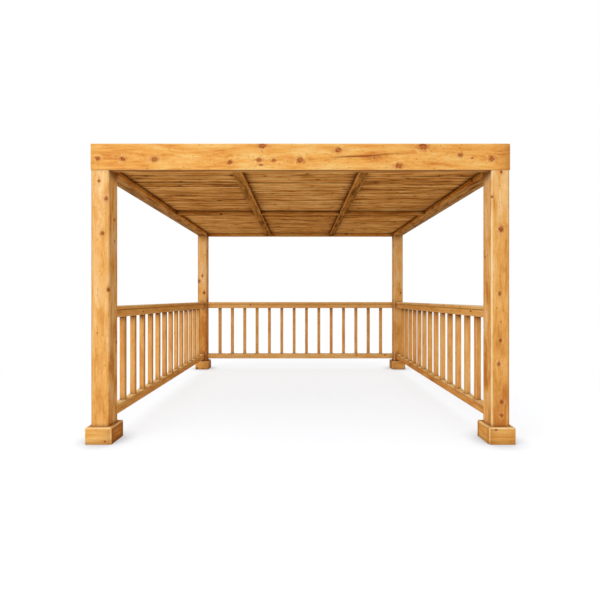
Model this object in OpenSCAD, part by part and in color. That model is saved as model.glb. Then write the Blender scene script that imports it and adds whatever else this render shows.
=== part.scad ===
// Square timber pergola: four posts on boxed skirts carry a ring of fascia beams and a flat
// boarded roof on rafters. Balustrades close the two sides and the rear, and the front is open.
// The origin is the centre of the plan at ground level. The open front faces -Y.

/* [Plan] */
// Width over the outer faces of the posts
frame_width = 3200; // [2600:50:4000]
// Depth over the outer faces of the posts
frame_depth = 3200; // [2600:50:4000]

/* [Posts] */
// Side of the square posts
post_side = 140; // [120:5:180]
// Radius of the long arrises of the posts
post_arris = 12; // [2:1:16]

/* [Fascia beams] */
// Height from the ground to the underside of the beams
headroom = 2085; // [1950:5:2400]
// Height of the beams
fascia_height = 205; // [150:5:260]
// Thickness of the beams
fascia_thickness = 60; // [45:5:80]
// How far the beams stand out past the faces of the posts
fascia_proud = 4; // [0:1:12]
// Radius of the arrises of the beams
fascia_arris = 9; // [2:1:14]

/* [Roof timbers] */
// Height of the bearers, rafters and noggins
timber_height = 45; // [35:5:90]
// Width of the two rafters
rafter_width = 70; // [45:5:100]
// Width of the noggins between the rafters
noggin_width = 45; // [35:5:90]
// Radius of the arrises of the roof timbers
timber_arris = 3; // [1:1:6]

/* [Roof boards] */
// Thickness of the roof boards
deck_thickness = 20; // [15:1:30]
// Gap round the boards of each bay
deck_gap = 2; // [1:1:6]

/* [Balustrades] */
// Height from the ground to the top of the cap rails
rail_top = 1045; // [900:5:1200]
// Width of the cap rails
cap_width = 70; // [60:2:100]
// Height of the cap rails
cap_height = 34; // [26:1:50]
// Radius of the upper arrises of the cap rails
cap_crown = 12; // [3:1:16]
// Width of the handrails under the caps
handrail_width = 64; // [54:2:90]
// Height of the handrails under the caps
handrail_height = 61; // [45:1:90]
// Radius of the arrises on each side of the groove under the cap
groove_arris = 5; // [2:1:8]
// Height from the ground to the underside of the bottom rails
rail_clearance = 160; // [60:5:260]
// Width of the bottom rails
bottom_rail_width = 66; // [54:2:90]
// Height of the bottom rails
bottom_rail_height = 76; // [50:2:110]
// Radius of the plain arrises of the rails
rail_arris = 3; // [1:1:6]

/* [Balusters] */
// Side of the square balusters
baluster_side = 44; // [30:1:50]
// Radius of the arrises of the balusters
baluster_arris = 5; // [1:1:8]
// Balusters in each side balustrade
side_balusters = 13; // [8:1:16]
// Balusters in the rear balustrade
rear_balusters = 14; // [8:1:16]
// Gap between a post and the nearest baluster of a side balustrade
side_end_gap = 222; // [60:2:260]
// Gap between a post and the nearest baluster of the rear balustrade
rear_end_gap = 172; // [60:2:260]
// Width of the stopped chamfers on the rails between balusters
stop_chamfer = 11; // [5:1:15]
// Length over which each stopped chamfer runs out
stop_runout = 18; // [6:1:26]
// Plain rail left between a baluster and its chamfers
stop_land = 6; // [2:1:12]

/* [Post skirts] */
// Height of the skirt boards
skirt_height = 128; // [80:2:200]
// Thickness of the skirt boards
skirt_thickness = 32; // [20:1:45]
// Radius of the outer arrises of the skirts
skirt_arris = 12; // [2:1:16]

/* [Hidden] */
$fn = 48;

// Each bay of the roof: its name, and its place counted from the centre
BAYS = [["left", -1], ["centre", 0], ["right", 1]];

// Each corner: its name, and the way it lies from the centre along X and Y
CORNERS = [
    ["front_left", -1, -1], ["front_right", 1, -1],
    ["rear_left", -1, 1], ["rear_right", 1, 1]
];

// Half the distance between the inner faces of opposite beams
inside_x = frame_width / 2 + fascia_proud - fascia_thickness;
inside_y = frame_depth / 2 + fascia_proud - fascia_thickness;

// Clear spans between the posts
span_x = frame_width - 2 * post_side;
span_y = frame_depth - 2 * post_side;

// A bearer fills the width between its side beam and the inner faces of the posts
bearer_width = inside_x - span_x / 2;
bearer_x = inside_x - bearer_width / 2;

// The two rafters part the roof between the bearers into three equal bays
bay_width = (span_x - 2 * rafter_width) / len(BAYS);
rafter_x = (bay_width + rafter_width) / 2;
bay_pitch = bay_width + rafter_width;
deck_seat = headroom + timber_height;

// Heights of the rails
cap_seat = rail_top - cap_height;
handrail_seat = cap_seat - handrail_height;
bottom_rail_top = rail_clearance + bottom_rail_height;

// Each balustrade: its name, turn about Z, distance between the outer faces of its opposite
// posts, length between its own posts, number of balusters, and gap at each end
BALUSTRADES = [
    ["left", 90, frame_width, span_y, side_balusters, side_end_gap],
    ["right", -90, frame_width, span_y, side_balusters, side_end_gap],
    ["rear", 0, frame_depth, span_x, rear_balusters, rear_end_gap]
];

// Slope of the stopped chamfers across the corner of a rail
chamfer_angle = 45;

// How far a cutting tool runs past the wood it cuts
overcut = 5;

// Section of a timber: w wide about x = 0, h high from y = 0, with its upper arrises rounded
// to top_r and its lower arrises to low_r.
module timber_section(w, h, top_r, low_r) {
    translate([-w / 2, low_r]) square([w, h - top_r - low_r]);
    translate([-w / 2 + top_r, low_r]) square([w - 2 * top_r, h - low_r]);
    translate([-w / 2 + low_r, 0]) square([w - 2 * low_r, h - top_r]);
    for (side = [-1, 1]) {
        translate([side * (w / 2 - top_r), h - top_r]) circle(top_r);
        translate([side * (w / 2 - low_r), low_r]) circle(low_r);
    }
}

// A section drawn in X and Y, run along the X axis with its y upward.
module along_x(length) {
    rotate([90, 0, 90]) linear_extrude(length, center = true) children();
}

// The same section, run along the Y axis.
module along_y(length) {
    rotate([90, 0, 0]) linear_extrude(length, center = true) children();
}

// Post: the two outer faces are rebated above the shoulder, so that the beams rest on the
// shoulder and lap the tenon that is left, which carries the roof boards.
module post(dir_x, dir_y) {
    reach = frame_width + frame_depth;
    color("#E3A862") difference() {
        translate([dir_x * (frame_width - post_side) / 2, dir_y * (frame_depth - post_side) / 2])
            linear_extrude(deck_seat)
                translate([0, -post_side / 2])
                    timber_section(post_side, post_side, post_arris, post_arris);
        translate([dir_x * (inside_x + reach / 2), 0, headroom + reach / 2]) cube(reach, center = true);
        translate([0, dir_y * (inside_y + reach / 2), headroom + reach / 2]) cube(reach, center = true);
    }
}

// Boxed skirt before it is parted into boards, about the axis of its post.
module skirt_blank() {
    side = post_side + 2 * skirt_thickness;
    intersection() {
        linear_extrude(skirt_height)
            translate([0, -side / 2]) timber_section(side, side, skirt_arris, skirt_arris);
        along_x(side) skirt_edge(side);
        along_y(side) skirt_edge(side);
    }
}

// Upright outline of a skirt: square at the ground, rounded along the top.
module skirt_edge(side) {
    translate([0, -skirt_arris])
        intersection() {
            timber_section(side, skirt_height + skirt_arris, skirt_arris, skirt_arris);
            translate([-side / 2, skirt_arris]) square([side, skirt_height]);
        }
}

// Boards of a skirt: the front and rear ones are full width, and the side ones fit between them.
module skirt(dir_x, dir_y, faces) {
    side = post_side + 2 * skirt_thickness;
    centre = (post_side + skirt_thickness) / 2;
    board = faces ? [side, skirt_thickness] : [skirt_thickness, post_side];
    step = faces ? [0, centre] : [centre, 0];
    color("#DFA256")
        translate([dir_x * (frame_width - post_side) / 2, dir_y * (frame_depth - post_side) / 2])
            intersection() {
                skirt_blank();
                for (way = [-1, 1])
                    translate(way * step)
                        linear_extrude(skirt_height) square(board, center = true);
            }
}

// Front or rear beam: runs the full width and covers the ends of the side beams.
module fascia_across(dir_y) {
    length = frame_width + 2 * fascia_proud;
    color("#E6AC5C")
        translate([0, dir_y * (inside_y + fascia_thickness / 2), headroom])
            rotate([0, 0, dir_y > 0 ? 180 : 0])
                intersection() {
                    along_x(length)
                        timber_section(fascia_thickness, fascia_height, fascia_arris, fascia_arris);
                    linear_extrude(fascia_height)
                        translate([0, -fascia_thickness / 2])
                            timber_section(length, fascia_thickness, timber_arris, fascia_arris);
                }
}

// Side beam: butts between the front and rear beams.
module fascia_along(dir_x) {
    color("#DFA356")
        translate([dir_x * (inside_x + fascia_thickness / 2), 0, headroom])
            along_y(2 * inside_y)
                timber_section(fascia_thickness, fascia_height, fascia_arris, fascia_arris);
}

// Bearer: fixed to the inside of a side beam between the posts, under the ends of the boards.
module bearer(dir_x) {
    color("#9C6B3B")
        translate([dir_x * bearer_x, 0, headroom])
            along_y(span_y) timber_section(bearer_width, timber_height, timber_arris, timber_arris);
}

// Rafter: runs from the front beam to the rear beam.
module rafter(dir_x) {
    color("#A87342")
        translate([dir_x * rafter_x, 0, headroom])
            along_y(2 * inside_y)
                timber_section(rafter_width, timber_height, timber_arris, timber_arris);
}

// Noggin: braces one bay across its middle.
module noggin(place) {
    color("#A66F3A")
        translate([place * bay_pitch, 0, headroom])
            along_x(bay_width) timber_section(noggin_width, timber_height, timber_arris, timber_arris);
}

// Roof boards of one bay, laid side to side: they meet the next bay's boards over a rafter.
module roof_deck(place) {
    half = inside_x - deck_gap;
    joint = rafter_x - deck_gap / 2;
    low = place < 0 ? -half : place > 0 ? joint + deck_gap : -joint;
    high = place > 0 ? half : place < 0 ? -joint - deck_gap : joint;
    color("#B07C46")
        translate([low, -inside_y + deck_gap, deck_seat])
            cube([high - low, 2 * (inside_y - deck_gap), deck_thickness]);
}

// Carries a piece drawn along the X axis to the middle of its balustrade.
module in_balustrade(rail) {
    rotate([0, 0, rail[1]]) translate([0, (rail[2] - post_side) / 2, 0]) children();
}

// Places of the balusters along a balustrade, evenly spaced between the gaps at its two posts,
// and the start and end of each bay between them.
function first_place(rail) = (rail[3] - baluster_side) / 2 - rail[5];
function baluster_places(rail) =
    [for (i = [0 : rail[4] - 1]) first_place(rail) * (2 * i / (rail[4] - 1) - 1)];
function bay_starts(rail) = concat([-rail[3] / 2], [for (x = baluster_places(rail)) x + baluster_side / 2]);
function bay_ends(rail) = concat([for (x = baluster_places(rail)) x - baluster_side / 2], [rail[3] / 2]);

// Tools that cut a chamfer on both lower arrises of a rail in each gap between balusters. A
// chamfer stops short of the balusters and runs out in a slope at each end.
module stopped_chamfers(rail, width) {
    starts = bay_starts(rail);
    ends = bay_ends(rail);
    depth = stop_chamfer * sin(chamfer_angle);
    for (i = [0 : rail[4]], way = [0, 1]) {
        low = starts[i] + stop_land;
        high = ends[i] - stop_land;
        mirror([0, way, 0])
            translate([0, width / 2, 0])
                rotate([180 - chamfer_angle, 0, 0])
                    linear_extrude(2 * stop_chamfer, center = true)
                        polygon([
                            [low, -overcut], [low, 0], [low + stop_runout, depth],
                            [high - stop_runout, depth], [high, 0], [high, -overcut]
                        ]);
    }
}

// Cap rail: crowned on top, with a small arris that makes one side of the groove.
module cap_rail(rail) {
    color("#BF8340") in_balustrade(rail)
        translate([0, 0, cap_seat])
            along_x(rail[3]) timber_section(cap_width, cap_height, cap_crown, groove_arris);
}

// Handrail: under the cap, with stopped chamfers along its lower arrises.
module handrail(rail) {
    color("#C98F4B") in_balustrade(rail)
        translate([0, 0, handrail_seat])
            difference() {
                along_x(rail[3])
                    timber_section(handrail_width, handrail_height, groove_arris, rail_arris);
                stopped_chamfers(rail, handrail_width);
            }
}

// Bottom rail: carries the balusters, with stopped chamfers along its upper arrises.
module bottom_rail(rail) {
    color("#C78D49") in_balustrade(rail)
        translate([0, 0, bottom_rail_top])
            mirror([0, 0, 1])
                difference() {
                    along_x(rail[3])
                        timber_section(bottom_rail_width, bottom_rail_height, rail_arris, rail_arris);
                    stopped_chamfers(rail, bottom_rail_width);
                }
}

// Balusters: evenly spaced, and fitted between the bottom rail and the handrail.
module balusters(rail) {
    color("#CF9450") in_balustrade(rail)
        for (x = baluster_places(rail))
            translate([x, -baluster_side / 2, bottom_rail_top])
                linear_extrude(handrail_seat - bottom_rail_top)
                    timber_section(baluster_side, baluster_side, baluster_arris, baluster_arris);
}

for (c = CORNERS) post(c[1], c[2]);
for (c = CORNERS) skirt(c[1], c[2], true);
for (c = CORNERS) skirt(c[1], c[2], false);
fascia_across(-1);  // fascia_front
fascia_across(1);  // fascia_rear
fascia_along(-1);  // fascia_left
fascia_along(1);  // fascia_right
bearer(-1);  // bearer_left
bearer(1);  // bearer_right
rafter(-1);  // rafter_left
rafter(1);  // rafter_right
for (b = BAYS) noggin(b[1]);
for (b = BAYS) roof_deck(b[1]);
for (r = BALUSTRADES) cap_rail(r);
for (r = BALUSTRADES) handrail(r);
for (r = BALUSTRADES) bottom_rail(r);
for (r = BALUSTRADES) balusters(r);
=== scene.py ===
"""Timber pergola: the finish of every timber, the single roof boards, and the studio round it."""

import bpy
import numpy as np
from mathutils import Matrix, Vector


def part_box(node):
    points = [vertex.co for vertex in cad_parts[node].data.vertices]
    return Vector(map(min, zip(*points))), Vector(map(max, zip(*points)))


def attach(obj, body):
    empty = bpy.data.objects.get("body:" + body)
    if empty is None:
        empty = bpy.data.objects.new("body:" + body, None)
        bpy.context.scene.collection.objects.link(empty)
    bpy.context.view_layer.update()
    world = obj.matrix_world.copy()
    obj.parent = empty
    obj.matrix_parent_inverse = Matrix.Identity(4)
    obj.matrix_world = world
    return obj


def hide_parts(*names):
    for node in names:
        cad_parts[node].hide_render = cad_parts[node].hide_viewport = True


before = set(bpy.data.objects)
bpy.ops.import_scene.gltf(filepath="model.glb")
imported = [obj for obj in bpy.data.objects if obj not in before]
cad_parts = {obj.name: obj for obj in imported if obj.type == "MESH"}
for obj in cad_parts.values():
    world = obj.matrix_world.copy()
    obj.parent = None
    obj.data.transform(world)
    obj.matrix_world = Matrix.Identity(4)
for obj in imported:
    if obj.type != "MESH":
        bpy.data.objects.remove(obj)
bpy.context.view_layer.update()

# ----------------------------------------------------- posts
# Four 140 mm square posts of planed pine, each one length from the ground to the roof boards.
# Their long arrises are eased. Above the shoulder the two outer faces are cut back, and the
# beams rest on the shoulder and lap what is left.

POST_ARRIS = 0.012
POST_STEP = 0.045
# Straight pieces in each rounded arris
ARC_STEPS = 4
# Length over which painted shade at the end of a timber fades
END_FADE = 0.04
# An offset in radii that is too far from any knot to show one
NO_KNOT = (9.0, 9.0, 0.0)
RING_WIDTH = 0.0052

# Directions of a timber's width, height and length, for each way that it can lie
LIES = {
    "x": np.array([[0, 1, 0], [0, 0, 1], [1, 0, 0]], float),
    "y": np.array([[-1, 0, 0], [0, 0, 1], [0, 1, 0]], float),
    "z": np.array([[1, 0, 0], [0, 1, 0], [0, 0, 1]], float),
}


def stations(length, step, end_ease, extra):
    """Places along a timber: a quarter circle of radius end_ease at each end, and even steps
    or the extra places between. Gives each place, how far the section is drawn in there, and
    how far the surface leans along the timber, which is the cosine of the turn."""
    turn = np.radians(np.linspace(0, 90, ARC_STEPS + 1))
    nose = end_ease * (1 - np.cos(turn))
    body = np.linspace(end_ease, length - end_ease, max(int(length / step), 1) + 1)[1:-1]
    body = np.unique(np.concatenate([body, np.asarray(extra, float)]))
    place = np.concatenate([nose, body, length - nose[::-1]])
    drawn = end_ease * (1 - np.sin(turn))
    inset = np.concatenate([drawn, 0 * body, drawn[::-1]])
    lean = np.concatenate([-np.cos(turn), 0 * body, np.cos(turn)[::-1]])
    return place, inset, lean


def section(width, height, ease, flat, inset, splits):
    """Outlines of a timber's section, one for each station. A corner is an arc whose centre
    lies one radius in from both sides, and flat draws the arc towards its chord, which makes a
    chamfer of it. Straight sides are the line between two corners, cut into equal parts.
    Gives the points, anticlockwise, and the direction that the surface faces at each."""
    half = np.array([width, height]) / 2 - inset[:, None]
    share = np.linspace(0, 1, ARC_STEPS + 1)[:, None]
    corners, rays = [], []
    for corner, sign in enumerate(np.array([[1, 1], [-1, 1], [-1, -1], [1, -1]])):
        turn = np.radians(90 * (corner + share))
        ray = np.concatenate([np.cos(turn), np.sin(turn)], 1)
        bow = ray * (1 - flat[corner]) + (ray[0] * (1 - share) + ray[-1] * share) * flat[corner]
        radius = np.maximum(ease[:, corner] - inset, 1e-4)[:, None]
        corners.append((sign * (half - radius))[:, None] + radius[:, None] * bow)
        rays.append(np.broadcast_to(ray, corners[-1].shape))
    points, facing = [], []
    for corner in range(4):
        parts = splits[corner % 2]
        share = (np.arange(1, parts) / parts)[None, :, None]
        side = corners[corner][:, -1:] * (1 - share) + corners[(corner + 1) % 4][:, :1] * share
        points += [corners[corner], side]
        facing += [rays[corner], np.broadcast_to(rays[corner][:, -1:], side.shape)]
    return np.concatenate(points, 1), np.concatenate(facing, 1)


def nearest_on(outline, spots):
    """How far round the outline each spot lies: each is dropped square onto every side of the
    outline, and the nearest foot counts."""
    along = np.roll(outline, -1, 0) - outline
    long = np.maximum(np.linalg.norm(along, axis=1), 1e-9)
    start = np.concatenate([[0], np.cumsum(long)[:-1]])
    rel = spots[:, None] - outline[None]
    share = np.clip((rel * along).sum(-1) / long**2, 0, 1)
    side = np.linalg.norm(rel - share[..., None] * along, axis=-1).argmin(1)
    row = np.arange(len(spots))
    return start[side] + share[row, side] * long[side]


def knot_offsets(outline, place, ring, side, knots):
    """Where each corner of each face lies from the knot that is nearest to the face, in radii
    of the knot: along the timber and round it. The third number is the radius itself."""
    offset = np.tile(np.array(NO_KNOT), (len(ring), 4, 1))
    if not len(knots):
        return offset
    knots = np.array(knots, float)
    widths = np.linalg.norm(np.roll(outline, -1, 0) - outline, axis=1)
    girth = np.concatenate([[0], np.cumsum(widths)])
    around = girth[side[:, None] + [0, 1, 1, 0]]
    ahead = place[ring[:, None] + [0, 0, 1, 1]]
    spot = nearest_on(outline, knots[:, 1:3])
    gap_along = ahead.mean(1)[:, None] - knots[:, 0]
    gap_round = around.mean(1)[:, None] - spot
    turns = np.round(gap_round / girth[-1]) * girth[-1]
    chosen = (np.hypot(gap_along / 3, gap_round - turns) / knots[:, 3]).argmin(1)
    wrap = turns[np.arange(len(chosen)), chosen]
    radius = knots[chosen, 3][:, None]
    offset[..., 0] = (ahead - knots[chosen, 0][:, None]) / radius
    offset[..., 1] = (around - (spot[chosen] + wrap)[:, None]) / radius
    offset[..., 2] = radius
    return offset


def timber(low, high, lies, ease, seed, knots=(), pith=(0.03, 0.09), step=0.06, end_ease=0.002,
           flat=(0, 0, 0, 0), splits=(2, 2), extra=(), tone=None, arris_light=(1, 1, 1, 1), ends=(0, 0), warp=None,
           line=None, end_tone=0.0):
    """One length of timber: its section, swept along the line between its two ends.

    ease gives the radii of the four long arrises, and flat makes chamfers of them. Each knot is
    (place along, across, up, radius), with across and up from the middle of the section. seed
    picks the timber's own stretch of figure, pith is where the heart of the log lay from the
    middle, and tone is how pale the timber is painted at even places along it, which is uneven
    stain, and on some timbers painted light and shade as well. rub gives for each long arris the
    strength of a painted highlight along it, or below nought that of painted shade. Both ease and
    rub may be functions of the place along. ends is how much painted shade is laid at the two
    ends, over any painted highlight there, and end_tone is how much paler the end grain is
    painted than what is beside it. warp moves the local points, and line gives how far each of
    them lies off a dark line, and how strong that is. The rest is for the stations and the
    section."""
    low, high = np.array(low, float), np.array(high, float)
    axes = LIES[lies]
    width, height, length = np.abs(axes @ (high - low))
    place, inset, lean = stations(length, step, end_ease, extra)
    eases = np.broadcast_to(np.asarray(ease(place) if callable(ease) else ease, float), (len(place), 4))
    outline, facing = section(width, height, eases, flat, inset, splits)
    rings, sides = outline.shape[:2]
    local = np.concatenate([outline, np.broadcast_to(place[:, None, None], (rings, sides, 1))], 2)
    if warp is not None:
        local = warp(local)
    rise = np.sqrt(1 - lean**2)[:, None, None]
    normal = np.concatenate([facing * rise, np.broadcast_to(lean[:, None, None], (rings, sides, 1))], 2)
    grids = np.meshgrid(np.arange(rings - 1), np.arange(sides), indexing="ij")
    ring, side = (grid.ravel() for grid in grids)
    after = (side + 1) % sides
    quads = np.stack([ring * sides + side, ring * sides + after,
                      (ring + 1) * sides + after, (ring + 1) * sides + side], -1)
    flat_local = local.reshape(-1, 3)
    corner = np.concatenate([np.repeat([i], ARC_STEPS + splits[i % 2]) for i in range(4)])
    arris_lights = np.broadcast_to(np.asarray(arris_light(place) if callable(arris_light) else arris_light, float), (rings, 4))
    # Painted highlight along the arrises and round the rounded ends, and painted shade where the value
    # falls below nought
    edge_lighting = 2 * np.abs(facing[..., 0] * facing[..., 1]) * rise[..., 0] * arris_lights[:, corner]
    edge_lighting = np.where(np.abs(lean)[:, None] > 0.01, 2 * np.abs(lean)[:, None] * rise[..., 0], edge_lighting)
    faded = ends[0] * np.exp(-place / END_FADE) + ends[1] * np.exp((place - length) / END_FADE)
    edge_lighting = edge_lighting - faded[:, None]
    off_line, strength = line(flat_local) if line else (flat_local[:, 1], 0 * flat_local[:, 2])
    if tone is None:
        tone = (np.sin(seed * 12.9898) * 0.5 + np.sin(seed * 4.1414) * 0.5,)
    tones = np.interp(flat_local[:, 2], np.linspace(0, length, len(tone)), tone)
    tones[:sides] += end_tone
    tones[-sides:] += end_tone
    faces_way = normal.reshape(-1, 3) @ axes
    return {
        "co": (low + high) / 2 - axes[2] * length / 2 + flat_local @ axes,
        "quads": quads,
        "caps": [np.arange(sides)[::-1], (rings - 1) * sides + np.arange(sides)],
        "cap_normals": [-axes[2], axes[2]],
        "normal": faces_way,
        "grain": np.stack([flat_local[:, 2] + 7.3 * seed, flat_local[:, 0] - pith[0],
                           flat_local[:, 1] - pith[1]], -1),
        "knot": knot_offsets(outline[rings // 2], place, ring, side, knots).reshape(-1, 3),
        "line": np.stack([off_line, strength, np.abs(normal[..., 0]).ravel()], -1),
        "finish": np.stack([tones, edge_lighting.ravel(), faces_way[:, 2]], -1),
    }


def linear(hex_colour):
    """A colour written in sRGB hex, turned to the linear values that shaders take."""
    value = np.array([int(hex_colour[i:i + 2], 16) for i in (1, 3, 5)]) / 255
    value = np.where(value <= 0.04045, value / 12.92, ((value + 0.055) / 1.055) ** 2.4)
    return (*value.tolist(), 1.0)


def nodes_of(owner):
    """Turns on and empties the shader nodes of a material or the world, and gives the function
    that adds one."""
    owner.use_nodes = True
    tree = owner.node_tree
    tree.nodes.clear()

    def put(kind, *inputs, out=0, stops=(), **named):
        """Adds one node and gives one of its outputs. The inputs are values or other nodes'
        outputs, in the order of the sockets in use. A named value with a capital is a socket
        too, and without one it is a setting. stops are a ramp's places and colours, from low
        to high."""
        node = tree.nodes.new("ShaderNode" + kind)
        for key, value in named.items():
            if key[0].islower():
                setattr(node, key, value)
        for index, (place, colour) in enumerate(stops):
            points = node.color_ramp.elements
            point = points[index] if index < 2 else points.new(place)
            point.position, point.color = place, colour
        pairs = list(zip([socket for socket in node.inputs if socket.enabled], inputs))
        capitals = [key for key in named if key[0].isupper()]
        pairs += [(node.inputs[key.replace("_", " ")], named[key]) for key in capitals]
        for socket, value in pairs:
            if isinstance(value, bpy.types.NodeSocket):
                tree.links.new(value, socket)
            elif value is not None:
                socket.default_value = value
        results = [socket for socket in node.outputs if socket.enabled]
        return results[out] if results else node
    return put


def knot_zones(put, grain, from_knot):
    """How near each place lies to its knot, from its offset in radii, made ragged by noise. Gives
    the distance in radii, and three measures that fall from the knot outwards: a tail drawn out
    along the grain, a broader wing, and how far the growth rings bulge there, in metres."""
    rag = put("TexNoise", grain, Scale=70.0, Detail=2.0, out=1)
    rag = put("VectorMath", rag, (0.5, 0.5, 0.5), operation="SUBTRACT")
    ragged = put("VectorMath", rag, (1.9, 1.9, 1.9), from_knot, operation="MULTIPLY_ADD")
    zones = []
    for stretch, near, far in (((0.2, 0.9, 0), 0.15, 1.5), ((0.45, 0.62, 0), 0.5, 2.2),
                               ((0.85, 1, 0), 0.5, 3.6)):
        radii = put("VectorMath", ragged, stretch, operation="MULTIPLY")
        radii = put("VectorMath", radii, operation="LENGTH")
        zones.append(put("MapRange", radii, near, far, 1.0, 0.0, interpolation_type="SMOOTHSTEP"))
    tail, wing, bulge = zones
    bulge = put("Math", bulge, put("SeparateXYZ", from_knot, out=2), operation="MULTIPLY")
    return radii, tail, wing, bulge


def growth_rings(put, grain, bulge):
    """The distance from the heart of the log, wavering by slow noise and bulging at the knots,
    over the width of a ring. Gives that number of rings, and how dark each is: its outer edge is
    the late wood. The rings are about twice as wide as real ones, which wouldn't show."""
    across = put("VectorMath", grain, (0, 1, 1), operation="MULTIPLY")
    distance = put("VectorMath", across, operation="LENGTH")
    for scale, strength in (((0.9, 5, 5), 0.085), ((6, 26, 26), 0.024)):
        waver = put("TexNoise", put("Mapping", grain, Scale=scale), Scale=1.0, Detail=2.0)
        distance = put("Math", waver, strength, distance, operation="MULTIPLY_ADD")
    distance = put("Math", bulge, 1.7, distance, operation="MULTIPLY_ADD")
    rings = put("Math", distance, RING_WIDTH, operation="DIVIDE")
    black, white = (0, 0, 0, 1), (1, 1, 1, 1)
    late = put("ValToRGB", put("Math", rings, operation="FRACT"),
               stops=((0.25, black), (0.82, white), (0.9, white), (1.0, black)))
    return rings, late


def knot_layers(put, grain, radii, tail, wing, streak, light, dark, heart, bark, flare):
    """What surrounds a knot and the knot itself, each as how far it covers the wood, and its
    colour: a pale flare on one side, dark resin along the grain, a warm zone, and the knot's
    heart in its broken ring of bark."""
    patch = put("TexNoise", grain, Scale=38.0, Detail=1.0)
    patchy = put("MapRange", patch, 0.45, 0.6, 0.0, flare)
    flared = put("Math", wing, patchy, operation="MULTIPLY")
    resin = put("Math", tail, streak, operation="MULTIPLY")
    warm = put("MapRange", radii, 0.9, 2.3, 0.6, 0.0)
    whole = put("MapRange", patch, 0.4, 0.62, 1.0, 0.7)
    covers = put("MapRange", radii, 0.95, 1.2, whole, 0.0, interpolation_type="SMOOTHSTEP")
    eye = put("ValToRGB", put("Math", radii, 2.0, operation="DIVIDE"),
              stops=((0, bark), (0.06, heart), (0.33, heart), (0.43, bark), (0.56, bark)))
    return [(flared, light), (resin, dark), (warm, heart), (covers, eye)]


def line_layers(put, off_line, strength, half_width, lip, light, bark):
    """A dark line, which is resin, a joint or painted shade, and the pale lip beside a joint,
    which is painted highlight. Each is a bell curve across: e to the minus square of the distance
    over half the width."""
    layers = []
    for place, share, tint in ((2.3 * half_width, lip, light), (0.0, 1.0, bark)):
        if share:
            bell = off_line
            for value, operation in ((-place, "ADD"), (half_width, "DIVIDE"), (2.0, "POWER"),
                                     (-1.0, "MULTIPLY"), (None, "EXPONENT"), (share, "MULTIPLY")):
                bell = put("Math", bell, value, operation=operation)
            bell = put("Math", bell, strength, operation="MULTIPLY", use_clamp=True)
            layers.append((bell, tint))
    return layers


def painted_light_layers(put, edge_lighting, cloud, covers, edge, painted_shade, corners, shade_reach):
    """Painted highlight along arrises, painted shade along arrises, and painted shade in corners
    where timbers meet, by how little of the surroundings is in sight there. Knots get no painted
    highlight."""
    uneven = put("MapRange", cloud, 0.35, 0.6, 0.55, 1.1)
    shares = []
    for strength in (edge[1], -painted_shade[1]):
        share = put("Math", edge_lighting, strength, operation="MULTIPLY")
        shares.append(put("Math", share, uneven, operation="MULTIPLY", use_clamp=True))
    arris_lighting, arris_shade = shares
    arris_lighting = put("Math", arris_lighting, put("Math", 1.0, covers, operation="SUBTRACT"), operation="MULTIPLY")
    # Painted shade in corners, by how little of the surroundings is in sight
    in_sight = put("AmbientOcclusion", samples=8, Distance=shade_reach, out=1)
    corner = put("MapRange", in_sight, 0.4, 0.9, corners, 0.0)
    return [(arris_lighting, linear(edge[0])), (arris_shade, linear(painted_shade[0])), (corner, linear(painted_shade[0]))]


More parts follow.
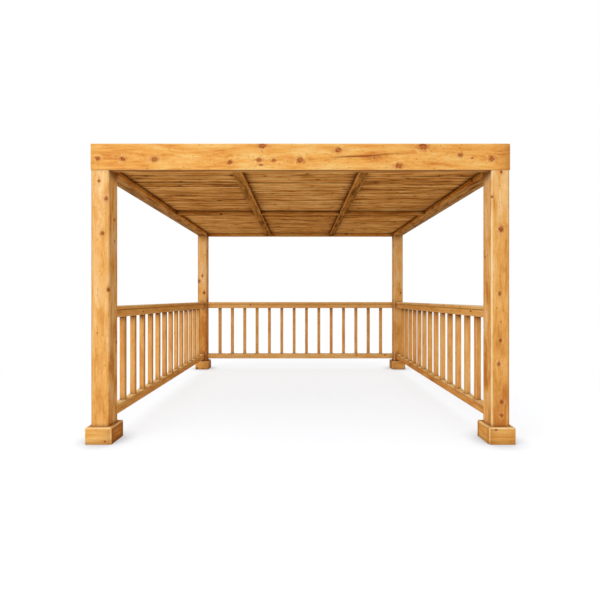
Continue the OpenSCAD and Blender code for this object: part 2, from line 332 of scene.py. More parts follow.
def pine(name, light, middle, dark, knot, edge, painted_shade, rough=0.6, sawn=0.0, gloss=0.1, tone_depth=0.12,
         under=None, top=None, figure=1.0, flat_sawn=1.0, broad=0.0, flare=0.8, flecks=0.6, line=0.007,
         lip=0.0, corners=0.6, shade_reach=0.07, streaks=1.0):
    """Stained pine. The figure comes from growth rings round the heart of the log, which lies
    along the timber: their distance wavers along it, which draws the arches on a planed face,
    and swells round each knot. light, middle and dark are the wood's own colours, and knot gives
    a knot's heart and its bark ring.

    edge is the colour and strength of the painted highlight along an arris, and gather those of
    the painted shade along an arris and in corners. corners is how much shade is painted where
    two timbers meet, and reach how far from the corner it is painted. under and top are the
    colours, and the share, of painted shade on what faces straight down and of painted light on
    what faces straight up. figure is the strength of the figure, streaks that of the flames in
    it, flat_sawn how much stronger it is on the two sides across the width, and broad adds wide
    stripes. flare is how pale the wood is round a knot, and flecks how dark its flecks are. line
    is half the width of a dark line, and lip the strength of the painted highlight beside it.
    sawn is the strength of saw marks across the grain, rough and gloss are the shader's, and
    tone_depth is what one step of tone is worth."""
    material = bpy.data.materials.new(name)
    put = nodes_of(material)
    light, middle, dark, heart, bark = (linear(colour) for colour in (light, middle, dark, *knot))
    grain = put("Attribute", attribute_name="grain", out=1)
    from_knot = put("Attribute", attribute_name="knot", out=1)
    dark_line = put("SeparateXYZ", put("Attribute", attribute_name="line", out=1)).node.outputs
    finish = put("SeparateXYZ", put("Attribute", attribute_name="finish", out=1)).node.outputs

    # Noise drawn out along the grain, each at its own size: 250 by 60 mm clouds in the stain,
    # 160 by 12 mm flames, 8 by 4 mm flecks, and fibres 2.4 mm wide, where real ones are too fine
    # to show
    cloud = put("TexNoise", put("Mapping", grain, Scale=(4, 16, 16)), Scale=1.0, Detail=3.0,
                Distortion=0.4)
    streak = put("TexNoise", put("Mapping", grain, Scale=(6, 80, 80)), Scale=1.0, Detail=3.0,
                 Roughness=0.65, Distortion=0.4)
    fibre = put("TexNoise", put("Mapping", grain, Scale=(7, 420, 420)), Scale=1.0, Detail=2.0)
    fleck = put("TexNoise", put("Mapping", grain, Scale=(45, 95, 95)), Scale=1.0, Detail=1.0)
    fleck = put("MapRange", fleck, 0.66, 0.74, 0.0, flecks)
    radii, tail, wing, bulge = knot_zones(put, grain, from_knot)
    rings, late = growth_rings(put, grain, bulge)

    # Bands of several rings, which are what shows from a few metres away, with the clouds,
    # flames and stripes added: nought gives the dark colour, a half the middle and one the light
    lane = put("CombineXYZ", put("Math", rings, 0.34, operation="MULTIPLY"),
               put("Math", put("SeparateXYZ", grain), 3.0, operation="MULTIPLY"))
    lane = put("TexNoise", lane, Scale=1.0, Detail=3.0, Roughness=0.6)
    mixed = 0.5 - (1.35 + 0.5 * streaks) * figure
    for part, strength in ((lane, 1.3), (cloud, 1.4), (streak, streaks)):
        mixed = put("Math", part, strength * figure, mixed, operation="MULTIPLY_ADD")
    if broad:
        stripe = put("TexNoise", put("Mapping", grain, Scale=(2.6, 22, 22)), Scale=1.0,
                     Detail=3.0, Roughness=0.7)
        stripe = put("MapRange", stripe, 0.4, 0.6, -0.5, 0.5)
        mixed = put("Math", stripe, broad, mixed, operation="MULTIPLY_ADD")
    if flat_sawn != 1:
        strong = put("MapRange", dark_line[2], 0.4, 0.9, 1.0, flat_sawn)
        mixed = put("Math", mixed, 0.5, operation="SUBTRACT")
        mixed = put("Math", mixed, strong, 0.5, operation="MULTIPLY_ADD")
    mixed = put("Math", finish[0], tone_depth, mixed, operation="MULTIPLY_ADD")

    # What lies over the wood's own colour, from below upwards: how far it covers, and its colour
    layers = [(put("Math", late, 0.22, operation="MULTIPLY"), dark),
              (put("Math", fibre, 0.16, operation="MULTIPLY"), dark), (fleck, heart)]
    # Painted shade on what faces down and painted light on what faces up
    for way, stain in ((-1, under), (1, top)):
        if stain:
            pale, deep, share = stain
            facing = put("MapRange", finish[2], way * 0.65, way * 0.95, 0.0, share)
            figured = put("Mix", put("MapRange", mixed, 0.2, 0.8), linear(deep), linear(pale),
                          data_type="RGBA")
            layers.append((facing, figured))
    layers += knot_layers(put, grain, radii, tail, wing, streak, light, dark, heart, bark, flare)
    covers = layers[-1][0]
    layers += line_layers(put, dark_line[0], dark_line[1], line, lip, light, bark)
    layers += painted_light_layers(put, finish[1], cloud, covers, edge, painted_shade, corners, shade_reach)
    colour = put("ValToRGB", mixed, stops=((0, dark), (0.5, middle), (1, light)))
    for share, tint in layers:
        colour = put("Mix", share, colour, tint, data_type="RGBA")

    # Fibres and late wood stand up a little after planing, and the saw leaves marks across them
    height = put("Math", fibre, 0.5, put("Math", late, 0.5, operation="MULTIPLY"),
                 operation="MULTIPLY_ADD")
    if sawn:
        marks = put("TexNoise", put("Mapping", grain, Scale=(330, 14, 14)), Scale=1.0, Detail=2.0)
        height = put("Math", marks, 1.2 * sawn, height, operation="MULTIPLY_ADD")
        height = put("Math", streak, 3.0 * sawn, height, operation="MULTIPLY_ADD")
    bump = put("Bump", Strength=0.35, Distance=0.0006 + 0.002 * sawn, Height=height)
    rough = put("Math", late, -0.08, rough, operation="MULTIPLY_ADD")
    shader = put("BsdfPrincipled", Base_Color=colour, Normal=bump, IOR=1.5, Specular_IOR_Level=gloss,
                 Roughness=rough)
    put("OutputMaterial", shader)
    return material


def make_piece(name, timbers, material, node):
    """Joins timbers into one piece that stands for a node of the frame."""
    counts = np.cumsum([0] + [len(stick["co"]) for stick in timbers])
    mesh = bpy.data.meshes.new(name)
    faces, normals, knots = [], [], []
    for start, stick in zip(counts, timbers):
        faces += (stick["quads"] + start).tolist() + [(cap + start).tolist() for cap in stick["caps"]]
        normals.append(stick["normal"][stick["quads"].ravel()])
        knots.append(stick["knot"])
        for cap, way in zip(stick["caps"], stick["cap_normals"]):
            normals.append(np.broadcast_to(way, (len(cap), 3)))
            knots.append(np.tile(NO_KNOT, (len(cap), 1)))
    mesh.from_pydata(np.concatenate([stick["co"] for stick in timbers]).tolist(), [], faces)
    for key in ("grain", "line", "finish"):
        layer = mesh.attributes.new(key, "FLOAT_VECTOR", "POINT")
        values = np.concatenate([stick[key] for stick in timbers]).astype(np.float32)
        layer.data.foreach_set("vector", values.ravel())
    layer = mesh.attributes.new("knot", "FLOAT_VECTOR", "CORNER")
    layer.data.foreach_set("vector", np.concatenate(knots).astype(np.float32).ravel())
    mesh.normals_split_custom_set(np.concatenate(normals).tolist())
    mesh.materials.append(material)
    piece = bpy.data.objects.new(name, mesh)
    bpy.context.scene.collection.objects.link(piece)
    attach(piece, "root")
    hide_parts(node)


def scatter(seed, length, width, height, spacing, radius):
    """Knots at about an even spacing along a timber, anywhere round it."""
    rng = np.random.default_rng(seed)
    count = int(length / spacing)
    along = (np.arange(count) + rng.uniform(0.1, 0.9, count)) * length / max(count, 1)
    turn = rng.uniform(0, 2 * np.pi, count)
    size = radius * rng.uniform(0.55, 1.25, count)
    return np.stack([along, np.cos(turn) * width, np.sin(turn) * height, size], 1)


def shoulder(low_x, high_x, low_y, high_y, height):
    """Cuts a post back above its shoulder, by holding its section inside the tenon."""
    def warp(local):
        held = np.stack([np.clip(local[..., 0], low_x, high_x), np.clip(local[..., 1], low_y, high_y),
                         local[..., 2]], -1)
        return np.where(local[..., 2:] > height, held, local)
    return warp


# The front posts' knots: place across the front face and height, then the radius
POST_KNOTS = {
    "post_front_left": [(-0.007, 2.003, 0.008), (0.049, 1.868, 0.013), (0.019, 1.601, 0.010),
                        (0.066, 1.175, 0.010), (-0.019, 0.841, 0.004), (0.042, 0.595, 0.003)],
    "post_front_right": [(-0.066, 1.884, 0.008), (0.001, 1.635, 0.014), (-0.007, 1.144, 0.010),
                         (-0.001, 0.784, 0.009), (-0.014, 0.608, 0.010), (0.010, 0.315, 0.011),
                         (0.005, 0.212, 0.009)],
}
# Pin knots, the thin ends of small dead twigs: their spacing up each post, and their radius
PIN_SPACINGS = {"post_front_left": 0.6, "post_front_right": 0.1,
                "post_rear_left": 0.3, "post_rear_right": 0.2}
PIN_RADIUS = 0.006
# Other knots, whose places are left to chance. The rear posts came from a knottier log.
FRONT_SPACING, FRONT_RADIUS = 0.26, 0.007
REAR_SPACING, REAR_RADIUS = 0.17, 0.014
# How pale each post is painted at even heights up it, which is painted light and shade as well
# as uneven stain: paler towards the top and darker low down
POST_TONES = {"post_front_left": (0.5, 0.0, 0.0, 1.2, 0.8, 2.8),
              "post_front_right": (-2.0, -1.9, -0.9, 0.2, -0.4, 2.6),
              "post_rear_left": (-3.4, -2.6, 3.6, 1.2),
              "post_rear_right": (-1.8, -1.2, 1.6, 2.4, 1.8)}
# Strength of the painted highlight on the inner arrises at the foot and at the top, on the left
# and on the right, which is painted shade below nought
INNER_HIGHLIGHTS = ((-0.3, 0.5), (0.95, 0.95))
# Painted shadow of the beams down the inner faces of the posts: how far it reaches, and its
# strength
BEAM_SHADOW_REACH, BEAM_SHADOW_STRENGTH = 0.05, 0.55
# Height over which a post steps back at its shoulder
SHOULDER_STEP = 1e-5
# Softwood planed smooth under one thin coat. The eye gets a straw-coloured ground with soft
# orange bands, nearly matt, painted highlights as pale lines along the arrises, and painted
# brown shade in the corners.
post_pine = pine("planed pine with pale honey stain", "#FFDDA7", "#F4BD6D", "#CB853E",
                 ("#B26026", "#70300B"), edge=("#FFECC0", 0.9), painted_shade=("#7A4212", 0.8), flat_sawn=1.6,
                 corners=0.85, shade_reach=0.18, flare=0.5, streaks=0.55, line=BEAM_SHADOW_REACH)
# The inner faces of the beams, as far from the middle as the left one's, and their underside
beam_low, beam_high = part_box("fascia_left")
inside_x = -beam_high.x
inside_y = beam_high.y
underside = beam_low.z
for number, (node, tone) in enumerate(POST_TONES.items()):
    low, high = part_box(node)
    mid_x, mid_y = (low.x + high.x) / 2, (low.y + high.y) / 2
    half = (high.x - low.x) / 2
    cut_x, cut_y = inside_x - abs(mid_x), inside_y - abs(mid_y)
    sides_x = (-cut_x, half) if mid_x < 0 else (-half, cut_x)
    sides_y = (-cut_y, half) if mid_y < 0 else (-half, cut_y)
    knots = [(z, across, -half, radius) for across, z, radius in POST_KNOTS.get(node, [])]
    spacing, size = (REAR_SPACING, REAR_RADIUS) if mid_y > 0 else (FRONT_SPACING, FRONT_RADIUS)
    more = scatter(number + 40, high.z, half, half, spacing, size)
    if knots:
        more = more[more[:, 2] > -0.5 * half]
    pins = scatter(number + 80, high.z, half, half, PIN_SPACINGS[node], PIN_RADIUS)

    def arris_lighting(place, mid_x=mid_x, length=high.z):
        """The two inner arrises get the painted highlight that INNER_HIGHLIGHTS gives, and the outer ones
        painted shade.
        """
        inner = np.interp(place, [0, length], INNER_HIGHLIGHTS[mid_x > 0])
        return np.stack([inner if sign_x * mid_x < 0 else 0 * place - 1 for sign_x in (1, -1, -1, 1)], 1)

    def beam_shadow(local, mid_x=mid_x, half=half):
        """How far each point lies above the shoulder, and the strength of the painted shadow on the
        inner face.
        """
        inside = -np.sign(mid_x) * local[:, 0] > half - POST_ARRIS / 2
        return local[:, 2] - underside, BEAM_SHADOW_STRENGTH * inside

    post = timber(low, high, "z", (POST_ARRIS,) * 4, number + 1, [*knots, *more.tolist(), *pins.tolist()],
                  pith=(0.018 - 0.01 * number, 0.024), step=POST_STEP, splits=(4, 4), tone=tone, arris_light=arris_lighting,
                  extra=(underside, underside + SHOULDER_STEP), line=beam_shadow,
                  warp=shoulder(*sides_x, *sides_y, underside + SHOULDER_STEP / 2))
    make_piece(node + "_pine", [post], post_pine, node)

# ---------------------------------------------------- skirts
# Round the foot of each post a box of four pine boards, butted at the corners: the front and
# rear boards are full width and the side boards fit between them. Their outer arrises are
# rounded over.

SKIRT_ARRIS = 0.012
SAWN_ARRIS = 0.001
# How pale the boards that face front and rear are painted, and those at the sides, which are
# painted darker as shade
SKIRT_TONES = {"front_left": (0.7, -2.6), "front_right": (-0.6, -0.6), "rear_left": (0.4, -1.0),
               "rear_right": (0.4, -1.0)}
# How much painted shade at the left and right ends of the boards that face front and rear
# takes back their painted highlight
CORNER_SHADE = {"front_left": (0.0, 0.5), "front_right": (0.45, 0.2),
                "rear_left": (0.3, 0.3), "rear_right": (0.3, 0.3)}
# Short boards from the same planed softwood with a second coat. The eye gets a deeper honey than
# on the posts, with even bands along the boards, painted highlights on the tops and upper
# arrises, and painted shade on the lower arrises.
skirt_pine = pine("planed pine with honey stain", "#FFD893", "#F0B966", "#BC7632", ("#B0602A", "#722E0E"),
                  edge=("#FFE6B0", 0.9), painted_shade=("#7A4212", 0.8), top=("#FFE0A0", "#E8B060", 0.6),
                  tone_depth=0.16, figure=0.9, flecks=0.3, streaks=0.5)


def rounded_outside(out, length):
    """Rounds a board's ends only where they show: points of the inner and the lower half go back
    out by as much as the quarter circle at the end had drawn them in."""
    def warp(local):
        from_end = np.minimum(local[..., 2], length - local[..., 2])
        left = np.maximum(SKIRT_ARRIS - from_end, 0)
        drawn = SKIRT_ARRIS - np.sqrt(np.maximum(SKIRT_ARRIS**2 - left**2, 0))
        inner, lower = local[..., 0] * out < 0, local[..., 1] < 0
        return np.stack([local[..., 0] - out * drawn * inner, local[..., 1] - drawn * lower,
                         local[..., 2]], -1)
    return warp


skirt_number = 0
for corner, (face_tone, side_tone) in SKIRT_TONES.items():
    post_low, post_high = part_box("post_" + corner)
    low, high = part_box("skirt_faces_" + corner)
    faces, sides = [], []
    for outer in (False, True):
        skirt_number += 1
        round_over, plain = (SKIRT_ARRIS, SAWN_ARRIS) if outer else (SAWN_ARRIS, SKIRT_ARRIS)
        y = (post_high.y, high.y) if outer else (low.y, post_low.y)
        x = (post_high.x, high.x) if outer else (low.x, post_low.x)
        knots = scatter(skirt_number + 70, high.x - low.x, 0.02, 0.05, spacing=0.1, radius=0.009)
        # Painted highlight on the upper arrises and painted shade on the lower ones; the end grain is
        # painted as dark as the side boards beside it
        faces.append(timber((low.x, y[0], low.z), (high.x, y[1], high.z), "x",
                            (round_over, plain, SAWN_ARRIS, SAWN_ARRIS), skirt_number + 1.31, knots,
                            pith=(0.05, 0.09), step=0.03, end_ease=SKIRT_ARRIS, splits=(1, 4),
                            tone=(face_tone,), end_tone=side_tone - face_tone,
                            arris_light=(1.3, 1.3, -1, -1), ends=CORNER_SHADE[corner],
                            warp=rounded_outside(1 if outer else -1, high.x - low.x)))
        knots = scatter(skirt_number + 90, post_high.y - post_low.y, 0.02, 0.05, spacing=0.1, radius=0.008)
        sides.append(timber((x[0], post_low.y, low.z), (x[1], post_high.y, high.z), "y",
                            (plain, round_over, SAWN_ARRIS, SAWN_ARRIS), skirt_number + 0.77, knots,
                            pith=(0.05, 0.07), step=0.03, splits=(1, 4),
                            tone=(side_tone,), arris_light=(1, 1, -1, -1)))
    for node, boards in (("skirt_faces_" + corner, faces), ("skirt_sides_" + corner, sides)):
        make_piece(node + "_pine", boards, skirt_pine, node)

# ---------------------------------------------- fascia beams
# A ring of 60 by 205 mm beams of planed pine that stands on the posts' shoulders. The front
# and rear beams run the full width and cover the ends of the side beams.

FASCIA_ARRIS = 0.009
# Knots in the front beam: place from the middle, height above the underside, radius
FRONT_KNOTS = [
    (-1.546, 0.091, 0.012), (-1.353, 0.085, 0.014), (-1.113, 0.083, 0.017), (-0.536, 0.060, 0.012),
    (-0.314, 0.077, 0.013), (-0.290, 0.187, 0.019), (-0.300, 0.044, 0.011), (-0.204, 0.074, 0.010),
    (0.000, 0.077, 0.016), (0.289, 0.153, 0.015), (0.560, 0.093, 0.007), (0.755, 0.031, 0.017),
    (0.936, 0.178, 0.021), (1.220, 0.113, 0.013), (1.311, 0.091, 0.006), (1.460, 0.086, 0.015),
]
# The resin line: where it starts, right of the middle, its length, height and rise
RESIN_FROM, RESIN_RUN = 0.23, 0.66
RESIN_HEIGHT, RESIN_RISE = 0.092, 0.042
# The painted shade on the underside: where it lies behind the front face, and how many times
# wider than the line above. What lies less than the last of these above the underside belongs
# to it.
UNDER_SHADE_PLACE, UNDER_SHADE_WIDER, UNDER_SHADE_EDGE = 0.014, 2.5, 0.003
# How strong the line and the painted shade on the underside are
LINE_STRENGTH, UNDER_SHADE_STRENGTH = 0.9, 0.8
# How pale the stain came out at even places along each beam
BEAM_TONES = (0.0, 0.2, 1.0, 1.2, 0.0, 0.9, -0.5)


def resin_and_shade_line(middle, thick, tall):
    """A dark line of resin through the face of the front beam that rises gently along it: its
    height is a straight line with a shallow sine on it, and its strength swells soon after the
    start and dies away. A wider dark line of painted shade runs the whole length of the
    underside, behind the front arris."""
    def line(local):
        share = (local[:, 2] - middle - RESIN_FROM) / RESIN_RUN
        height = RESIN_HEIGHT + RESIN_RISE * share + 0.003 * np.sin(11 * share)
        held = np.clip(share, 0, 1)
        below = local[:, 1] < UNDER_SHADE_EDGE - tall / 2
        off_line = np.where(below, (local[:, 0] + thick / 2 - UNDER_SHADE_PLACE) / UNDER_SHADE_WIDER,
                            local[:, 1] + tall / 2 - height)
        swelling = LINE_STRENGTH * np.sin(np.pi * held**0.6) * (local[:, 0] < 0)
        return off_line, np.where(below, UNDER_SHADE_STRENGTH, swelling)
    return line


# Long softwood planks planed for show. The eye gets the liveliest figure of all: golden flames and
# arches along the plank, red-brown knots, and an underside darkened by painted shade, browner on
# the side beams.
# Painted shade on the beams' undersides: its pale and deep colours, and its share
BEAM_UNDERS = {"front and rear": ("#E3B870", "#A77438", 0.8), "side": ("#AE8048", "#744A22", 0.9)}
end_beam_pine, side_beam_pine = (
    pine("planed pine with honey stain on the " + which + " beams", "#FFD98C", "#F8BA62", "#D1833C",
         ("#BC6A34", "#86380F"), edge=("#FFE6AA", 0.7), painted_shade=("#6E3C12", 0.85), under=under,
         figure=1.2, streaks=0.75) for which, under in BEAM_UNDERS.items())
for number, node in enumerate(["fascia_front", "fascia_rear", "fascia_left", "fascia_right"]):
    low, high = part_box(node)
    across = number < 2
    length = high.x - low.x if across else high.y - low.y
    thick = high.y - low.y if across else high.x - low.x
    tall = high.z - low.z
    if number == 0:
        knots = [(x + length / 2, -thick / 2, z - tall / 2, radius) for x, z, radius in FRONT_KNOTS]
    else:
        knots = scatter(number + 20, length, thick / 2, tall / 2, spacing=0.2, radius=0.013)
    # Painted highlight on the upper arrises, painted shade on most lower ones and at the ends
    beam = timber(low, high, "x" if across else "y", (FASCIA_ARRIS,) * 4, number + 11, knots,
                  pith=(0.07, -0.01), step=0.04, end_ease=FASCIA_ARRIS if across else 0.001, splits=(2, 5),
                  tone=BEAM_TONES, arris_light=(1, 1, 0.5 if number == 0 else -0.9, -0.9), ends=(0.15, 0.7),
                  line=resin_and_shade_line(length / 2, thick, tall) if number == 0 else None)
    make_piece(node + "_pine", [beam], end_beam_pine if across else side_beam_pine, node)

# ---------------------------------------------- roof timbers
# Bearers along the side beams, two rafters from front to rear and a noggin across each bay,
# all of brown-stained pine laid flat, with their undersides level with the beams'.

ROOF_ARRIS = 0.004
# Softwood planed and coated brown on the ground, before it went up. The eye gets a matt brown
# underside, which is painted shade with a grey cast, orange sides, and a thin painted highlight
# along each lower arris.
brown_pine = pine("planed pine with brown stain", "#F8C886", "#E6A95C", "#B37838",
                  ("#7A4218", "#44210A"), edge=("#FFC873", 0.9), painted_shade=("#4C2205", 0.9), gloss=0.0,
                  under=("#BC8848", "#664424", 0.9), figure=1.2, corners=0.8)
# The same timber with a redder coat. The eye gets warm sides with strong dark bands, and an
# underside painted darker as shade.
bearer_pine = pine("planed pine with red-brown stain", "#F8BE6A", "#E29C46", "#A86420",
                   ("#7A4218", "#44210A"), edge=("#FFD08A", 0.5), painted_shade=("#4C2205", 0.9), gloss=0.0,
                   under=("#C09664", "#784F2A", 0.9), figure=1.5, corners=0.8)
# Strength of the painted highlight along the lower arrises of a rafter at its two ends
RAFTER_HIGHLIGHT = (1.5, 0.2)
# The way each timber lies, and how pale it is painted at even places along it, which on the
# rafters is painted shade, darker towards the rear
ROOF_TIMBERS = {
    "bearer_left": ("y", (0.9,)), "bearer_right": ("y", (0.5, 2.0)),
    "rafter_left": ("y", (0.6, 0.8, 0.0, -1.8)), "rafter_right": ("y", (-0.4, 0.0, -0.4, -2.2)),
    "noggin_left": ("x", (-0.9,)), "noggin_centre": ("x", (-0.2,)), "noggin_right": ("x", (-0.7,)),
}
for number, (node, (lies, tones)) in enumerate(ROOF_TIMBERS.items()):
    low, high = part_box(node)
    length = high.y - low.y if lies == "y" else high.x - low.x
    knots = scatter(number + 120, length, 0.03, 0.02, spacing=0.3, radius=0.01)
    rafter = node.startswith("rafter")

    def arris_lighting(place, length=length):
        """The upper arrises carry painted shade, and the lower ones a painted highlight, which on the
        rafters weakens from front to rear.
        """
        lower = np.interp(place, [0, length], RAFTER_HIGHLIGHT) if rafter else 0.5 + 0 * place
        return np.stack([0 * place - 1, 0 * place - 1, lower, lower], 1)

    stick = timber(low, high, lies, (ROOF_ARRIS,) * 4, number + 21, knots, pith=(0.05, 0.04), step=0.05,
                   tone=tones, arris_light=arris_lighting)
    stained = bearer_pine if node.startswith("bearer") else brown_pine
    make_piece(node + "_pine", [stick], stained, node)

# ----------------------------------------------- roof boards
# Rough-sawn pine boards about 105 mm wide, laid side to side across each bay and met over the
# rafters. Their edges are waney and eased by hand, which leaves a dark groove at every joint.

BOARD_PITCH = 0.105
# The narrowest and the widest board against the others
BOARD_WIDTHS = (0.6, 1.4)
BOARD_EDGE_SWAY = 0.004
BOARD_STEP_UP = 0.003
UPPER_ARRIS = 0.002
# Width of the waney lower edges, from the sharpest board to the roundest
WANE = (0.010, 0.018)
# Wavelengths of the wander of an edge, of its wane, and of the stain in its joint
SWAY_WAVE, WANE_WAVE, FADE_WAVE = 1.1, 0.8, 0.5
# How dark a tight, a usual and an open joint is. Those behind the noggins are fitted tighter.
JOINTS = (0.25, 0.6, 1.1)
NOGGIN_PLACE = 0.06
TIGHT_JOINTS = 0.35
# How pale the boards came out in front of the noggins and behind them, and how much they vary
BAY_TONES = {"roof_deck_left": (-0.4, 0.9), "roof_deck_centre": (0.8, -0.6),
             "roof_deck_right": (-0.2, 0.1)}
BOARD_VARIES = 0.9
# Boards straight from the saw, brown with stain. The eye gets dead matt stripes of tan and brown
# across each bay, saw marks under a low light, a black line at each joint with a painted
# highlight as a pale lip beside it, and painted shade where the boards meet the rafters.
sawn_pine = pine("rough-sawn pine with brown stain", "#FFD696", "#E0A65F", "#925C28",
                 ("#5A2C10", "#3A1B08"), rough=0.75, sawn=0.5, gloss=0.0, edge=("#FFDCA0", 0.9),
                 painted_shade=("#4C2003", 1.0), figure=0.75, broad=0.6, flare=0.0, line=0.011, lip=0.7,
                 corners=0.95, shade_reach=0.13)


def wander(rng, longest):
    """A slow random line: three sines of falling size and wavelength, between -1 and 1."""
    waves = longest * rng.uniform(0.7, 1.0, 3) / np.array([1, 2.3, 4.7])
    phases = rng.uniform(0, 2 * np.pi, 3)
    sizes = np.array([0.5, 0.3, 0.2])
    return lambda place: (sizes * np.sin(2 * np.pi * np.asarray(place)[..., None] / waves + phases)).sum(-1)


for bay, (node, tones) in enumerate(BAY_TONES.items()):
    low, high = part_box(node)
    rng = np.random.default_rng(300 + bay)
    count = int(round((high.y - low.y) / BOARD_PITCH))
    width = rng.uniform(*BOARD_WIDTHS, count)
    edge = low.y + np.concatenate([[0], np.cumsum(width) / width.sum()]) * (high.y - low.y)
    joint = rng.choice(JOINTS, count + 1) * np.where(edge > NOGGIN_PLACE, TIGHT_JOINTS, 1)
    straight = [lambda place: 0 * place]
    sways = straight + [wander(rng, SWAY_WAVE) for _ in range(count - 1)] + straight
    fades = [wander(rng, FADE_WAVE) for _ in range(count + 1)]
    boards = []
    for i in range(count):
        wane = wander(rng, WANE_WAVE)
        wane_width = rng.uniform(*WANE) * (0.5 + 0.5 * joint[i])

        def eased(place, wane=wane, size=wane_width):
            """Corner sizes along a board: small above, and wandering on the underside."""
            lower = size * (1 + 0.6 * wane(place))
            upper = 0 * place + UPPER_ARRIS
            return np.stack([upper, upper, lower, lower * 0.8], 1)

        def swayed(local, before=sways[i], after=sways[i + 1], wide=edge[i + 1] - edge[i]):
            """Each edge follows its own wandering line, which the next board shares."""
            share = local[..., 0] / wide + 0.5
            place = local[..., 2]
            shift = before(place) * (1 - share) + after(place) * share
            return np.stack([local[..., 0] + BOARD_EDGE_SWAY * shift, local[..., 1], place], -1)

        def front_joint(local, wide=edge[i + 1] - edge[i], strong=joint[i], fade=fades[i]):
            """Dark stain held along the front edge, as strong as the joint is, and fading in
            and out along it."""
            return local[:, 0] + wide / 2, strong * (0.75 + 0.5 * fade(local[:, 2]))

        bottom = low.z + rng.uniform(0, BOARD_STEP_UP)
        knots = scatter(1000 * bay + i, high.x - low.x, 0.04, 0.02, spacing=0.45, radius=0.011)
        pins = scatter(1000 * bay + i + 300, high.x - low.x, 0.04, 0.02, spacing=0.3, radius=PIN_RADIUS)
        pith = (rng.uniform(-0.03, 0.03), rng.uniform(0.02, 0.08))
        tone = rng.normal(0, BOARD_VARIES) + tones[int(edge[i] > NOGGIN_PLACE)]
        boards.append(timber((low.x, edge[i], bottom), (high.x, edge[i + 1], high.z), "x", eased,
                             100 * bay + i + 31.5, [*knots.tolist(), *pins.tolist()], pith=pith, step=0.05,
                             splits=(2, 1), tone=(tone,), arris_light=(-1, -1, 0, 0), warp=swayed,
                             line=front_joint))
    make_piece(node + "_boards", boards, sawn_pine, node)

# ----------------------------------------------- balustrades
# A crowned cap rail over a handrail, with a groove between them, and a bottom rail, all in
# planed pine. Between the balusters the rails have stopped chamfers.

CAP_CROWN = 0.012
GROOVE_ARRIS = 0.005
RAIL_ARRIS = 0.003
STOP_CHAMFER = 0.011
STOP_RUNOUT = 0.018
STOP_LAND = 0.006
BALUSTER_ARRIS = 0.005
BALUSTERS = {"left": 13, "right": 13, "rear": 14}
BALUSTER_STEP = 0.08
# Places near each end of a baluster that hold the painted shade close to the rails
BALUSTER_ENDS = np.array([0.02, 0.045])
# How far up a baluster its knots may lie
KNOTTY_LENGTH = 0.71
# Rounding of the sawn ends of rails and balusters
SAWN_END = 0.0005
# How much paler the rear rails are painted, and how pale each bottom rail is painted: painted
# light on the rear rails and painted shade on the right bottom rail
REAR_PALER = 1.2
BOTTOM_TONES = {"left": -0.4, "right": -1.8, "rear": 2.6}
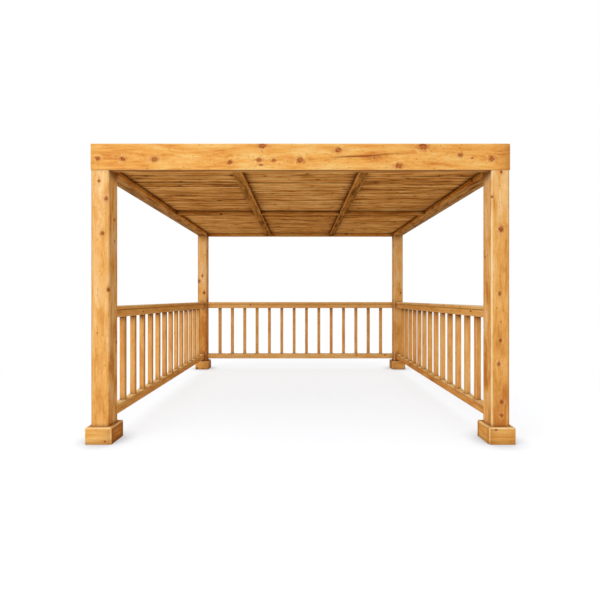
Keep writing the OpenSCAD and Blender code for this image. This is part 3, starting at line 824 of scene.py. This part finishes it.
# Small sections of clean softwood, planed and stained. The eye gets a quiet, fine figure, painted
# highlights on the tops and front arrises, and painted brown shade where the balusters meet the
# rails.
rail_pine = pine("planed pine with deep honey stain", "#FFDC9C", "#F6C072", "#CC8A4A",
                 ("#A85E28", "#702E0E"), edge=("#FFEEC4", 0.85), painted_shade=("#6E3C12", 0.8),
                 top=("#FFE6AA", "#FFD78E", 1.0), gloss=0.0, figure=0.7, flecks=0.25)
for order, (side, count) in enumerate(BALUSTERS.items()):
    lies = "x" if side == "rear" else "y"
    axis = 0 if side == "rear" else 1
    pale = REAR_PALER if side == "rear" else 0
    low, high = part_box("bottom_rail_" + side)
    span = high[axis] - low[axis]
    baluster_low, baluster_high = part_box("balusters_" + side)
    baluster = min(baluster_high.x - baluster_low.x, baluster_high.y - baluster_low.y)
    first = baluster_low[axis] - low[axis] + baluster / 2
    middles = np.linspace(first, span - first, count)
    starts = np.concatenate([[0], middles + baluster / 2]) + STOP_LAND
    ends = np.concatenate([middles - baluster / 2, [span]]) - STOP_LAND
    stops = np.stack([starts, starts + STOP_RUNOUT, ends - STOP_RUNOUT, ends], 1).ravel()
    depths = np.tile([RAIL_ARRIS, STOP_CHAMFER, STOP_CHAMFER, RAIL_ARRIS], count + 1)

    def chamfered(upper, plain):
        """Corner sizes along a rail: the chamfer grows and fades between the balusters."""
        def ease(place):
            cut = np.interp(place, stops, depths)
            held = np.full_like(cut, plain)
            return np.stack([cut, cut, held, held] if upper else [held, held, cut, cut], 1)
        return ease

    # Each rail: its arrises, its knots as up to how high, how far apart and how big, and its looks
    # Each rail's looks paint a highlight on some arrises and shade on others
    rails = {
        "cap_rail": ((CAP_CROWN, CAP_CROWN, GROOVE_ARRIS, GROOVE_ARRIS), (0.01, 0.5, 0.007),
                     {"pith": (0.02, 0.06), "tone": (0.5 + pale,), "arris_light": (1.4, 1.4, -0.8, -0.8)}),
        "handrail": (chamfered(False, GROOVE_ARRIS), (0.03, 0.4, 0.008),
                     {"pith": (0.04, 0.02), "tone": (0.2 + pale,), "arris_light": (-0.8, -0.8, 0.7, 0.7),
                      "flat": (0, 0, 0.8, 0.8), "extra": stops}),
        "bottom_rail": (chamfered(True, RAIL_ARRIS), (0.03, 0.4, 0.008),
                        {"pith": (0.04, 0.05), "tone": (BOTTOM_TONES[side],), "arris_light": (1, 1, -0.6, -0.6),
                         "flat": (0.8, 0.8, 0, 0), "extra": stops}),
    }
    for number, (kind, (ease, (up, spacing, size), looks)) in enumerate(rails.items()):
        node = kind + "_" + side
        knots = scatter(order + 500 + 20 * number, span, 0.03, up, spacing, size)
        rail = timber(*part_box(node), lies, ease, order + 51 + 10 * number, knots, end_ease=SAWN_END,
                      **looks)
        make_piece(node + "_pine", [rail], rail_pine, node)
    sticks = []
    tall = baluster_high.z - baluster_low.z
    for i, middle in enumerate(middles):
        foot, top = baluster_low.copy(), baluster_high.copy()
        foot[axis] = low[axis] + middle - baluster / 2
        top[axis] = foot[axis] + baluster
        number = 20 * order + i
        knots = scatter(number + 600, KNOTTY_LENGTH, 0.02, 0.02, spacing=0.5, radius=0.003)
        # Painted shade on the rear arrises and at both ends, most under the handrail, and painted highlight
        # on the front arrises
        sticks.append(timber(foot, top, "z", (BALUSTER_ARRIS,) * 4, number + 201, knots,
                             pith=(0.03 * np.sin(i), 0.04), step=BALUSTER_STEP, end_ease=SAWN_END,
                             splits=(1, 1), extra=(*BALUSTER_ENDS, *(tall - BALUSTER_ENDS)),
                             arris_light=(-0.9, -0.9, 0.5, 0.5), ends=(0.3, 1.2)))
    make_piece("balusters_" + side + "_pine", sticks, rail_pine, "balusters_" + side)

# ---------------------------------------------------- studio
# A pale floor that runs out of sight, a white surround and one broad soft lamp from the left
# of the open front.

FLOOR_RADIUS = 60
# How much of the floor's brightness is light that falls on it, and the strength of the rest
FLOOR_SHADE = 0.34
FLOOR_GLOW = 1.33
# Distances from the middle up to which the shade is full, and from which there is none
SHADE_FULL, SHADE_NONE = 2.6, 4.6
# How far contact shade and the roof's shade reach, and the brightness left where each is full
CONTACT_REACH, CONTACT_SHADE = 0.15, 0.6
ROOF_REACH, ROOF_SHADE = 3.0, 0.87
floor_mesh = bpy.data.meshes.new("floor")
turn = np.linspace(0, 2 * np.pi, 97)[:-1]
rim = np.stack([FLOOR_RADIUS * np.cos(turn), FLOOR_RADIUS * np.sin(turn), 0 * turn], 1)
floor_mesh.from_pydata(rim.tolist(), [], [list(range(len(rim)))])
floor = bpy.data.objects.new("floor", floor_mesh)
bpy.context.scene.collection.objects.link(floor)
# Matt backdrop paper. The camera sees it as white as the surround, and darker only where light
# is kept off it near the pergola. All other rays see plain cream paper, which warms the
# undersides.
paper = bpy.data.materials.new("white paper floor")
put = nodes_of(paper)
far = put("VectorMath", put("TexCoord", out=3), operation="LENGTH")
near = put("MapRange", far, SHADE_FULL, SHADE_NONE, 1.0, 0.0, interpolation_type="SMOOTHSTEP")
contact = put("AmbientOcclusion", samples=8, Distance=CONTACT_REACH, out=1)
contact = put("MapRange", contact, 0.5, 1.0, CONTACT_SHADE, 1.0)
roofed = put("AmbientOcclusion", samples=8, Distance=ROOF_REACH, out=1)
roofed = put("MapRange", roofed, 0.4, 1.0, ROOF_SHADE, 1.0)
contact = put("Math", contact, roofed, operation="MULTIPLY")
matt = put("BsdfDiffuse", linear("#D6E5FF"))
cream = put("BsdfDiffuse", linear("#F0E6D2"))
glow = put("Math", contact, FLOOR_GLOW, operation="MULTIPLY")
glow = put("Emission", linear("#FFFFFF"), glow)
shaded = put("MixShader", 1 - FLOOR_SHADE, matt, glow)
seen = put("MixShader", near, put("Emission", linear("#FFFFFF"), 1.0), shaded)
put("OutputMaterial", put("MixShader", put("LightPath"), cream, seen))
floor_mesh.materials.append(paper)

# The surround's light: its mean, the least, and how it grows to the left, the front and the top
SURROUND_LIGHT = 0.575
DIM_SIDE = 0.22
BRIGHT_SIDE = (-0.31, -0.49, 0.26)
world = bpy.data.worlds.new("white surround")
bpy.context.scene.world = world
put = nodes_of(world)
light = put("VectorMath", put("TexCoord"), BRIGHT_SIDE, operation="DOT_PRODUCT")
light = put("Math", light, SURROUND_LIGHT, operation="ADD")
light = put("Math", light, DIM_SIDE, operation="MAXIMUM")
lit = put("Background", linear("#FFF7EA"), light)
plain = put("Background", linear("#FFFFFF"), 1.0)
put("OutputWorld", put("MixShader", put("LightPath"), lit, plain))

# A square softbox, turned towards the middle of the pergola
SOFTBOX_PLACE = np.array([-5.5, -6.0, 4.2])
SOFTBOX_AIM = np.array([0.0, 0.0, 1.0])
SOFTBOX_SIDE = 3.8
SOFTBOX_WATTS = 118
lamp = bpy.data.lights.new("key softbox", "AREA")
lamp.color = linear("#F3F8FF")[:3]
lamp.size = SOFTBOX_SIDE
lamp.energy = SOFTBOX_WATTS
softbox = bpy.data.objects.new("key softbox", lamp)
bpy.context.scene.collection.objects.link(softbox)
away = SOFTBOX_PLACE - SOFTBOX_AIM
softbox.location = SOFTBOX_PLACE
softbox.rotation_euler = (np.arccos(away[2] / np.linalg.norm(away)), 0, np.arctan2(away[0], -away[1]))

# The eye of someone who stands on the middle line, 2.9 m in front of the posts, and looks
# straight in
camera_data = bpy.data.cameras.new("camera")
camera_data.lens = 23.07
camera_data.sensor_width = 36.0
camera_data.shift_x = -0.0005
camera_data.shift_y = -0.0035
camera = bpy.data.objects.new("camera", camera_data)
bpy.context.scene.collection.objects.link(camera)
camera.location = (0.0, -4.536, 1.110)
camera.rotation_euler = (np.pi / 2, 0, 0)
bpy.context.scene.camera = camera
bpy.context.scene.view_settings.view_transform = "Standard"
